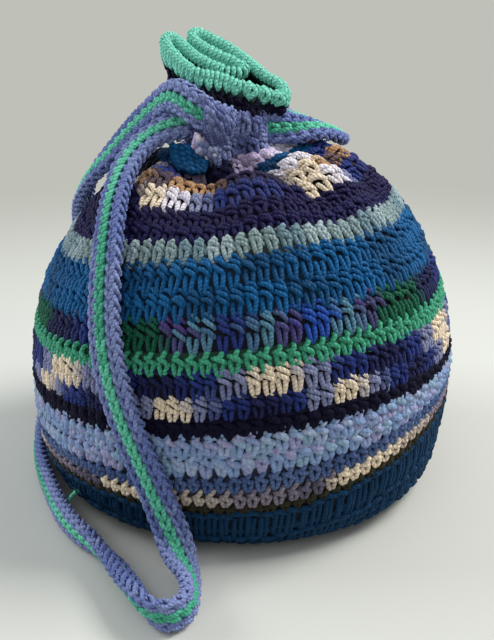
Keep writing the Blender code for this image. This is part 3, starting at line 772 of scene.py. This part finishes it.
def sheet_mesh(name, grid, out):
    """Skin over the whole pouch, and the round in which each face lies."""
    v = np.linspace(0.0, len(ROUNDS) - CLOTH_END, CLOTH_ROWS)
    u = np.arange(CLOTH_COLUMNS) / CLOTH_COLUMNS
    uu, vv = np.meshgrid(u, v)
    eased = np.clip((vv - EASE_FROM) / EASE_OVER, 0.0, 1.0)
    points, _ = grid.at(uu, vv + (slid(uu, vv) - vv) * eased, np.full(uu.shape, out))
    i = np.arange(CLOTH_COLUMNS)[None, :]
    low = np.arange(CLOTH_ROWS - 1)[:, None] * CLOTH_COLUMNS
    high = low + CLOTH_COLUMNS
    k = (i + 1) % CLOTH_COLUMNS
    quads = np.stack([low + i, low + k, high + k, high + i], -1)
    if out < 0:
        quads = quads[..., ::-1]
    corners = [tuple(p) for p in points.reshape(-1, 3) * MM]
    mesh = bpy.data.meshes.new(name)
    mesh.from_pydata(corners, [], [tuple(int(x) for x in q) for q in quads.reshape(-1, 4)])
    middle = ((v[:-1] + v[1:]) / 2).astype(int)
    return mesh, np.repeat(np.clip(middle, 0, len(ROUNDS) - 1), CLOTH_COLUMNS)


def backing_piece(grid, yarns):
    """Cloth behind the stitches and the inside of the pouch, dark as painted shade in the gaps between
    stitches and inside.
    """
    names = list(yarns)
    sheets = []
    for out in CLOTH_SIDES:
        mesh, index = sheet_mesh("cloth", grid, out)
        for material in yarns.values():
            mesh.materials.append(material)
        mesh.polygons.foreach_set("material_index", [names.index(ROUNDS[i][1]) for i in index])
        mesh.polygons.foreach_set("use_smooth", np.ones(len(mesh.polygons), dtype=bool))
        dye = mesh.attributes.new("dye", "FLOAT", "POINT")
        dye.data.foreach_set("value", np.full(len(mesh.vertices), 0.55, dtype=np.float32))
        mesh.uv_layers.new(name="ply")
        sheets.append(link_object("cloth", mesh))
    return join_objects("pouch_painted_shade_cloth", sheets)


class Strap:
    """Places and directions along the closed strap, by distance in mm."""

    def __init__(self):
        table = np.array([place + face for place, face in ROUTE])
        curve = curve_through(table, 24, True)
        ring = np.vstack([curve, curve[:1]])
        self.run = lengths_along(ring[:, :3])
        self.length = self.run[-1]
        self.table = ring

    def values(self, s, columns):
        """Some columns of the route's table at distance s."""
        return np.stack([np.interp(s, self.run, self.table[:, k]) for k in columns], -1)

    def frame(self, s):
        """Place, sideways direction and face direction at distance s."""
        s = np.mod(s, self.length)
        place = self.values(s, range(3))
        ahead = self.values(np.mod(s + LOOK, self.length), range(3))
        behind = self.values(np.mod(s - LOOK, self.length), range(3))
        forward = ahead - behind
        forward /= np.linalg.norm(forward, axis=-1)[..., None]
        face = self.values(s, range(3, 6))
        face = face - forward * (face * forward).sum(-1)[..., None]
        face /= np.linalg.norm(face, axis=-1)[..., None]
        return place, np.cross(forward, face), face

    def at(self, s, across, out):
        """Points across and out from the strap's middle, and its face there."""
        place, side, face = self.frame(s)
        return place + side * across[..., None] + face * out[..., None], face


# Loops of the strap: across, share of the pitch along, millimetres out. Across
# is in half widths of the chain, and for the edge in millimetres.
CHAIN_LEG = [(1.10, -0.20, -0.3), (1.05, 0.06, 1.7), (0.72, 0.40, 2.8), (0.34, 0.78, 2.2), (0.10, 1.08, 0.2)]
EDGE_LEG = [(6.9, -0.15, 1.4), (7.9, 0.14, 2.1), (8.7, 0.45, 1.0), (8.7, 0.80, -0.9), (7.6, 1.10, -2.0)]


def chain_column(strap, centre, width, lift, side, radius, stitches, phase):
    """One column of chain loops on the face (side 1) or the reverse (side -1)."""
    leg = np.array(CHAIN_LEG)
    pitch = strap.length / stitches
    k = np.arange(stitches)[:, None]
    made = []
    for hand in (-1.0, 1.0):
        wobble = RANDOM.normal(0.0, 0.05, (stitches, len(leg)))
        s = (k + phase + leg[None, :, 1] + wobble) * pitch
        across = centre + hand * leg[None, :, 0] * width + RANDOM.normal(0.0, 0.08, s.shape)
        out = side * (leg[None, :, 2] + lift)
        lines, face = strap.at(s, across, out)
        made.append((lines, face * side, radius))
    return made


def edge_column(strap, hand, radius, stitches, phase):
    """Slanting loops over one edge of the strap."""
    leg = np.array(EDGE_LEG)
    pitch = strap.length / stitches
    s = (np.arange(stitches)[:, None] + phase + leg[None, :, 1]) * pitch
    across = hand * leg[None, :, 0] + RANDOM.normal(0.0, 0.1, s.shape)
    out = leg[None, :, 2] + RANDOM.normal(0.0, 0.08, s.shape)
    lines, face = strap.at(s, across, out)
    turn = np.arctan2(leg[:, 2], 1.0)[None, :, None]
    side = strap.frame(s)[1] * hand
    normals = face * np.sin(turn) + side * np.cos(turn)
    return [(lines, normals, radius)]


def strap_pieces(strap, materials):
    """The lavender band and the mint chain along its middle."""
    stitches = round(strap.length / CHAIN_PITCH)
    lavender = []
    for hand in (-1.0, 1.0):
        centre = STRAP_SHIFT * 0.5 + hand * FACE_CHAIN
        lavender += chain_column(strap, centre, 2.1, 0.0, 1.0, YARN_RADIUS, stitches, 0.5 * (hand > 0))
        lavender += edge_column(strap, hand, 1.15, stitches, 0.25 * hand)
        lavender += chain_column(strap, hand * REVERSE_CHAIN, 2.2, -0.2, -1.0, 1.2, stitches, 0.3)
    meshes = []
    for lines, normals, radius in lavender:
        dye = np.arange(len(lines)) / 23.0 + RANDOM.normal(0.0, 0.08, len(lines))
        meshes.append(tube_mesh("band", lines, normals, radius, dye, sides=5))
    meshes.append(band_core(strap, stitches))
    band = join_meshes("strap_lavender", meshes, materials["strap_lavender"])
    mint = chain_column(strap, STRAP_SHIFT, 2.0, 0.9, 1.0, 1.5, stitches, 0.15)
    under = chain_column(strap, 0.0, 0.5, -0.9, -1.0, 0.9, stitches // 2, 0.0)
    meshes = []
    for lines, normals, radius in mint + under[:1]:
        dye = np.arange(len(lines)) / 31.0 + RANDOM.normal(0.0, 0.06, len(lines))
        meshes.append(tube_mesh("chain", lines, normals, radius, dye, sides=5))
    chain = join_meshes("strap_mint_chain", meshes, materials["strap_mint"])
    return band, chain


def band_core(strap, stitches):
    """Flat inner layer of the band, so that no light shows between its loops."""
    s = np.linspace(0.0, strap.length, stitches + 1)
    zero = np.zeros((1, len(s)))
    lines, face = strap.at(s[None, :], zero, zero)
    return tube_mesh("core", lines, face, 8.0, np.zeros(1), sides=10, flat=0.2)


# Patches of yarn at the neck: the fold over the strap, the tufts under it and
# the azure folds beside it. Rows go down, each from left to right.
FOLD = [
    [(-20.0, -18.5, 231.0), (-12.8, -21.5, 227.5), (-5.3, -20.5, 224.0), (1.4, -15.0, 220.5)],
    [(-17.5, -25.8, 225.1), (-10.6, -26.5, 222.0), (-4.4, -23.5, 218.3), (0.4, -14.0, 214.1)],
    [(-17.7, -27.0, 217.5), (-11.8, -27.0, 215.3), (-6.0, -23.0, 211.5), (-1.6, -13.0, 207.9)],
    [(-14.8, -22.0, 204.4), (-10.9, -22.0, 202.2), (-7.6, -20.0, 200.1), (-4.9, -15.0, 198.3)],
]
SIDE_FOLD = [
    [(4.5, -12.0, 220.0), (9.0, -16.0, 219.0), (14.8, -11.0, 217.0)],
    [(5.0, -11.0, 211.0), (9.5, -19.0, 209.5), (14.6, -13.0, 208.5)],
    [(6.2, -12.0, 200.0), (10.0, -19.5, 197.5), (14.2, -13.0, 196.8)],
]
TUFTS = [
    [(-22.3, -24.0, 211.5), (-15.8, -24.5, 206.0), (-8.2, -22.0, 201.1)],
    [(-24.7, -22.0, 203.3), (-18.2, -22.0, 197.2), (-9.4, -19.0, 194.3)],
]
SIDE_TUFTS = [
    [(8.0, -20.0, 203.0), (13.5, -17.0, 201.5)],
    [(8.4, -18.0, 194.5), (13.0, -15.5, 193.0)],
]
AZURE_LEFT = [
    [(-37.2, -16.0, 204.3), (-28.2, -18.0, 204.1), (-19.9, -18.0, 202.5)],
    [(-35.9, -22.0, 197.7), (-26.9, -24.0, 197.1), (-18.2, -23.0, 195.1)],
    [(-31.5, -28.0, 192.0), (-25.0, -30.0, 190.8), (-20.5, -27.0, 190.5)],
]
AZURE_RIGHT = [
    [(14.5, -17.0, 199.0), (20.5, -16.0, 198.0), (26.0, -14.0, 196.5)],
    [(14.5, -26.0, 195.5), (21.0, -26.5, 194.5), (27.0, -24.0, 192.5)],
    [(17.0, -35.0, 189.0), (22.5, -36.0, 188.0), (27.0, -34.5, 186.5)],
]
# Each patch: name, yarn, rows, strands and radius of the yarn
FOLD_PIECES = [
    ("neck_fold", "lavender", FOLD, 9, 1.6),
    ("neck_side_fold", "lavender", SIDE_FOLD, 6, 1.5),
    ("neck_tufts", "cloud", TUFTS, 7, 1.9),
    ("neck_side_tufts", "cloud", SIDE_TUFTS, 3, 1.8),
    ("azure_left_fold", "azure", AZURE_LEFT, 6, 1.9),
    ("azure_right_fold", "azure", AZURE_RIGHT, 5, 1.8),
]
# Direction that the patches face, and the middle of a crossing loop in
# millimetres off the line between its ends
FOLD_NORMAL = np.array([0.1, -0.85, 0.5])
CROSSING_RISE = np.array([0.1, -1.5, 0.9])
TAIL = [(-96.0, -79.6, 14.0), (-94.6, -79.8, 16.9), (-92.8, -80.8, 19.6), (-90.4, -83.3, 23.0)]


def patch(rows, columns, samples):
    """Strands down a small patch of cloth given by its rows of points."""
    wide = np.array([curve_through(row, 12, False) for row in rows])
    pick = np.linspace(0, wide.shape[1] - 1, columns).round().astype(int)
    return np.array([curve_through(wide[:, k], samples, False) for k in pick])


def fold_piece(materials, name, yarn, rows, columns, radius):
    """Yarn strands down a patch, with short loops crossing over them."""
    strands = patch(rows, columns, 8)
    strands = strands + RANDOM.normal(0.0, 0.12, strands.shape)
    normals = np.broadcast_to(FOLD_NORMAL, strands.shape)
    meshes = [tube_mesh(name, strands, normals, radius, RANDOM.uniform(0.0, 1.0, columns))]
    crossing = []
    step = max(strands.shape[1] // 6, 2)
    for k in range(columns - 1):
        for start in range(1 + k % 2, strands.shape[1] - step, step + 1):
            a = strands[k, start]
            b = strands[k + 1, start + step]
            middle = (a + b) / 2 + CROSSING_RISE
            crossing.append(curve_through([a, middle, b], 4, False))
    crossing = np.array(crossing)
    normals = np.broadcast_to(FOLD_NORMAL, crossing.shape)
    meshes.append(tube_mesh(name, crossing, normals, radius * 0.85, RANDOM.uniform(0.0, 1.0, len(crossing))))
    return join_meshes(name, meshes, materials[yarn])


def tail_piece(material):
    """Loose end of the mint yarn by the strap's join."""
    points = curve_through(TAIL, 5, False)
    normals = np.broadcast_to(np.array([0.4, -0.4, 0.8]), (1, len(points), 3))
    thick = np.linspace(1.15, 1.3, len(points))[None, :]
    mesh = tube_mesh("tail", points[None], normals, thick, np.zeros(1), sides=8)
    return join_meshes("mint_yarn_end", [mesh], material)


# Studio: colours of the floor and of its far part, with the distances in
# metres between which one turns into the other
FLOOR_COLOUR = (0.56, 0.57, 0.53, 1.0)
FAR_COLOUR = (0.52, 0.53, 0.48, 1.0)
FAR_FROM = 0.22
FAR_TO = 0.8
# Each lamp: name, place, aim, size, power and colour
LAMPS = [
    ("key", (1.0, 0.15, 1.2), (0.0, 0.0, 0.12), 0.7, 24.0, (1.0, 0.985, 0.96)),
    ("front", (-0.2, -1.5, 1.3), (0.0, 0.0, 0.1), 1.4, 4.0, (0.97, 0.98, 1.0)),
    ("left", (-1.3, 0.3, 0.8), (0.0, 0.0, 0.12), 0.9, 14.0, (0.95, 0.97, 1.0)),
]
WORLD_COLOUR = (0.95, 0.98, 1.0, 1.0)
WORLD_STRENGTH = 0.45
LENS = 60.2
CAMERA_PLACE = (0.0045, -0.6068, 0.3262)
CAMERA_AIM = (0.0045, 0.0, 0.0933)


def floor_material():
    """Pale floor that keeps the shadow and is evenly pale further away."""
    plain = bpy.data.materials.new("floor_plain")
    plain.use_nodes = True
    tree = plain.node_tree
    shader = tree.nodes["Principled BSDF"]
    shader.inputs["Base Color"].default_value = FLOOR_COLOUR
    shader.inputs["Roughness"].default_value = 0.9
    pale = node(tree, "ShaderNodeEmission", Color=FAR_COLOUR, Strength=1.0)
    place = tree.nodes.new("ShaderNodeTexCoord")
    distance = tree.nodes.new("ShaderNodeVectorMath")
    distance.operation = "LENGTH"
    tree.links.new(place.outputs["Object"], distance.inputs[0])
    far = node(tree, "ShaderNodeMapRange", Value=distance.outputs["Value"])
    far.interpolation_type = "SMOOTHSTEP"
    far.inputs["From Min"].default_value = FAR_FROM
    far.inputs["From Max"].default_value = FAR_TO
    ray = tree.nodes.new("ShaderNodeLightPath")
    seen = maths(tree, "ADD", ray.outputs["Is Camera Ray"], ray.outputs["Is Glossy Ray"])
    through = maths(tree, "ADD", seen, ray.outputs["Is Transmission Ray"])
    share = maths(tree, "MULTIPLY", through, far.outputs["Result"])
    share.node.use_clamp = True
    mix = tree.nodes.new("ShaderNodeMixShader")
    tree.links.new(share, mix.inputs[0])
    tree.links.new(shader.outputs[0], mix.inputs[1])
    tree.links.new(pale.outputs[0], mix.inputs[2])
    tree.links.new(mix.outputs[0], tree.nodes["Material Output"].inputs["Surface"])
    return plain


def studio():
    """Pale floor, soft lights and the camera at the photograph's angle."""
    bpy.ops.mesh.primitive_plane_add(size=16.0, location=(0.0, 0.0, 0.0))
    floor = bpy.context.object
    floor.name = "floor"
    floor.data.materials.append(floor_material())
    for name, place, aim, size, power, colour in LAMPS:
        data = bpy.data.lights.new(name, "AREA")
        data.shape = "SQUARE"
        data.size = size
        data.energy = power
        data.color = colour
        lamp = link_object(name, data)
        lamp.location = place
        lamp.rotation_euler = look_rotation(np.array(aim) - np.array(place))
    world = bpy.data.worlds.new("studio")
    world.use_nodes = True
    back = world.node_tree.nodes["Background"]
    back.inputs["Color"].default_value = WORLD_COLOUR
    back.inputs["Strength"].default_value = WORLD_STRENGTH
    bpy.context.scene.world = world
    data = bpy.data.cameras.new("camera")
    data.lens = LENS
    data.clip_start = 0.01
    data.clip_end = 30.0
    camera = bpy.data.objects.new("camera", data)
    camera.location = CAMERA_PLACE
    camera.rotation_euler = look_rotation(np.array(CAMERA_AIM) - np.array(camera.location))
    bpy.context.scene.collection.objects.link(camera)
    bpy.context.scene.camera = camera
    bpy.context.scene.view_settings.view_transform = "Standard"
    floor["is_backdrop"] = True


def look_rotation(direction):
    """Turn that points an object's -Z along a direction."""
    x, y, z = (float(c) for c in direction)
    flat = math.hypot(x, y)
    return (math.atan2(flat, -z), 0.0, math.atan2(-x, y))


def main():
    """Dress the part: the pouch's rounds, the folds at its neck and the strap."""
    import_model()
    grid = Grid()
    materials = {name: yarn_material(name, stops, WOOLLY.get(name, 0.0)) for name, stops in YARNS.items()}
    # Dark copies of the yarns for the cloth behind the stitches: painted shade in the gaps between stitches
    # and inside the pouch
    shade = {}
    for name, stops in YARNS.items():
        if not name.startswith("strap"):
            behind = [(0.0, GAP_SHADE_COLOURS.get(name, stops[0][1]))]
            shade[name] = yarn_material("shade_" + name, behind, 0.0, GAP_SHADE_SCALE)
    cloth_piece = backing_piece(grid, shade)
    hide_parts("bag_body")
    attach(cloth_piece, "root")
    for index in range(FIRST_YARN_ROUND, len(ROUNDS)):
        piece = round_piece(grid, index, materials)
        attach(piece, "root")
    for name, yarn, rows, columns, radius in FOLD_PIECES:
        piece = fold_piece(materials, name, yarn, rows, columns, radius)
        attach(piece, "root")
    strap = Strap()
    band, chain = strap_pieces(strap, materials)
    tail = tail_piece(materials["strap_mint"])
    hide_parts("strap_band")
    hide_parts("strap_chain")
    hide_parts("chain_tail")
    for piece, name in ((band, "strap_yarn"), (chain, "chain_yarn"), (tail, "chain_yarn")):
        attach(piece, "root")
    s = np.arange(0.0, strap.length, PATH_STEP)
    path = strap.frame(s)[0] * MM
    path = [[float(c) for c in p] for p in path]
    studio()
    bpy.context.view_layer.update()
    triangles = sum(len(p.vertices) - 2 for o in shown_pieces() if o.type == "MESH" for p in o.data.polygons)
    print("triangles", triangles, "strap", round(strap.length, 1))


main()
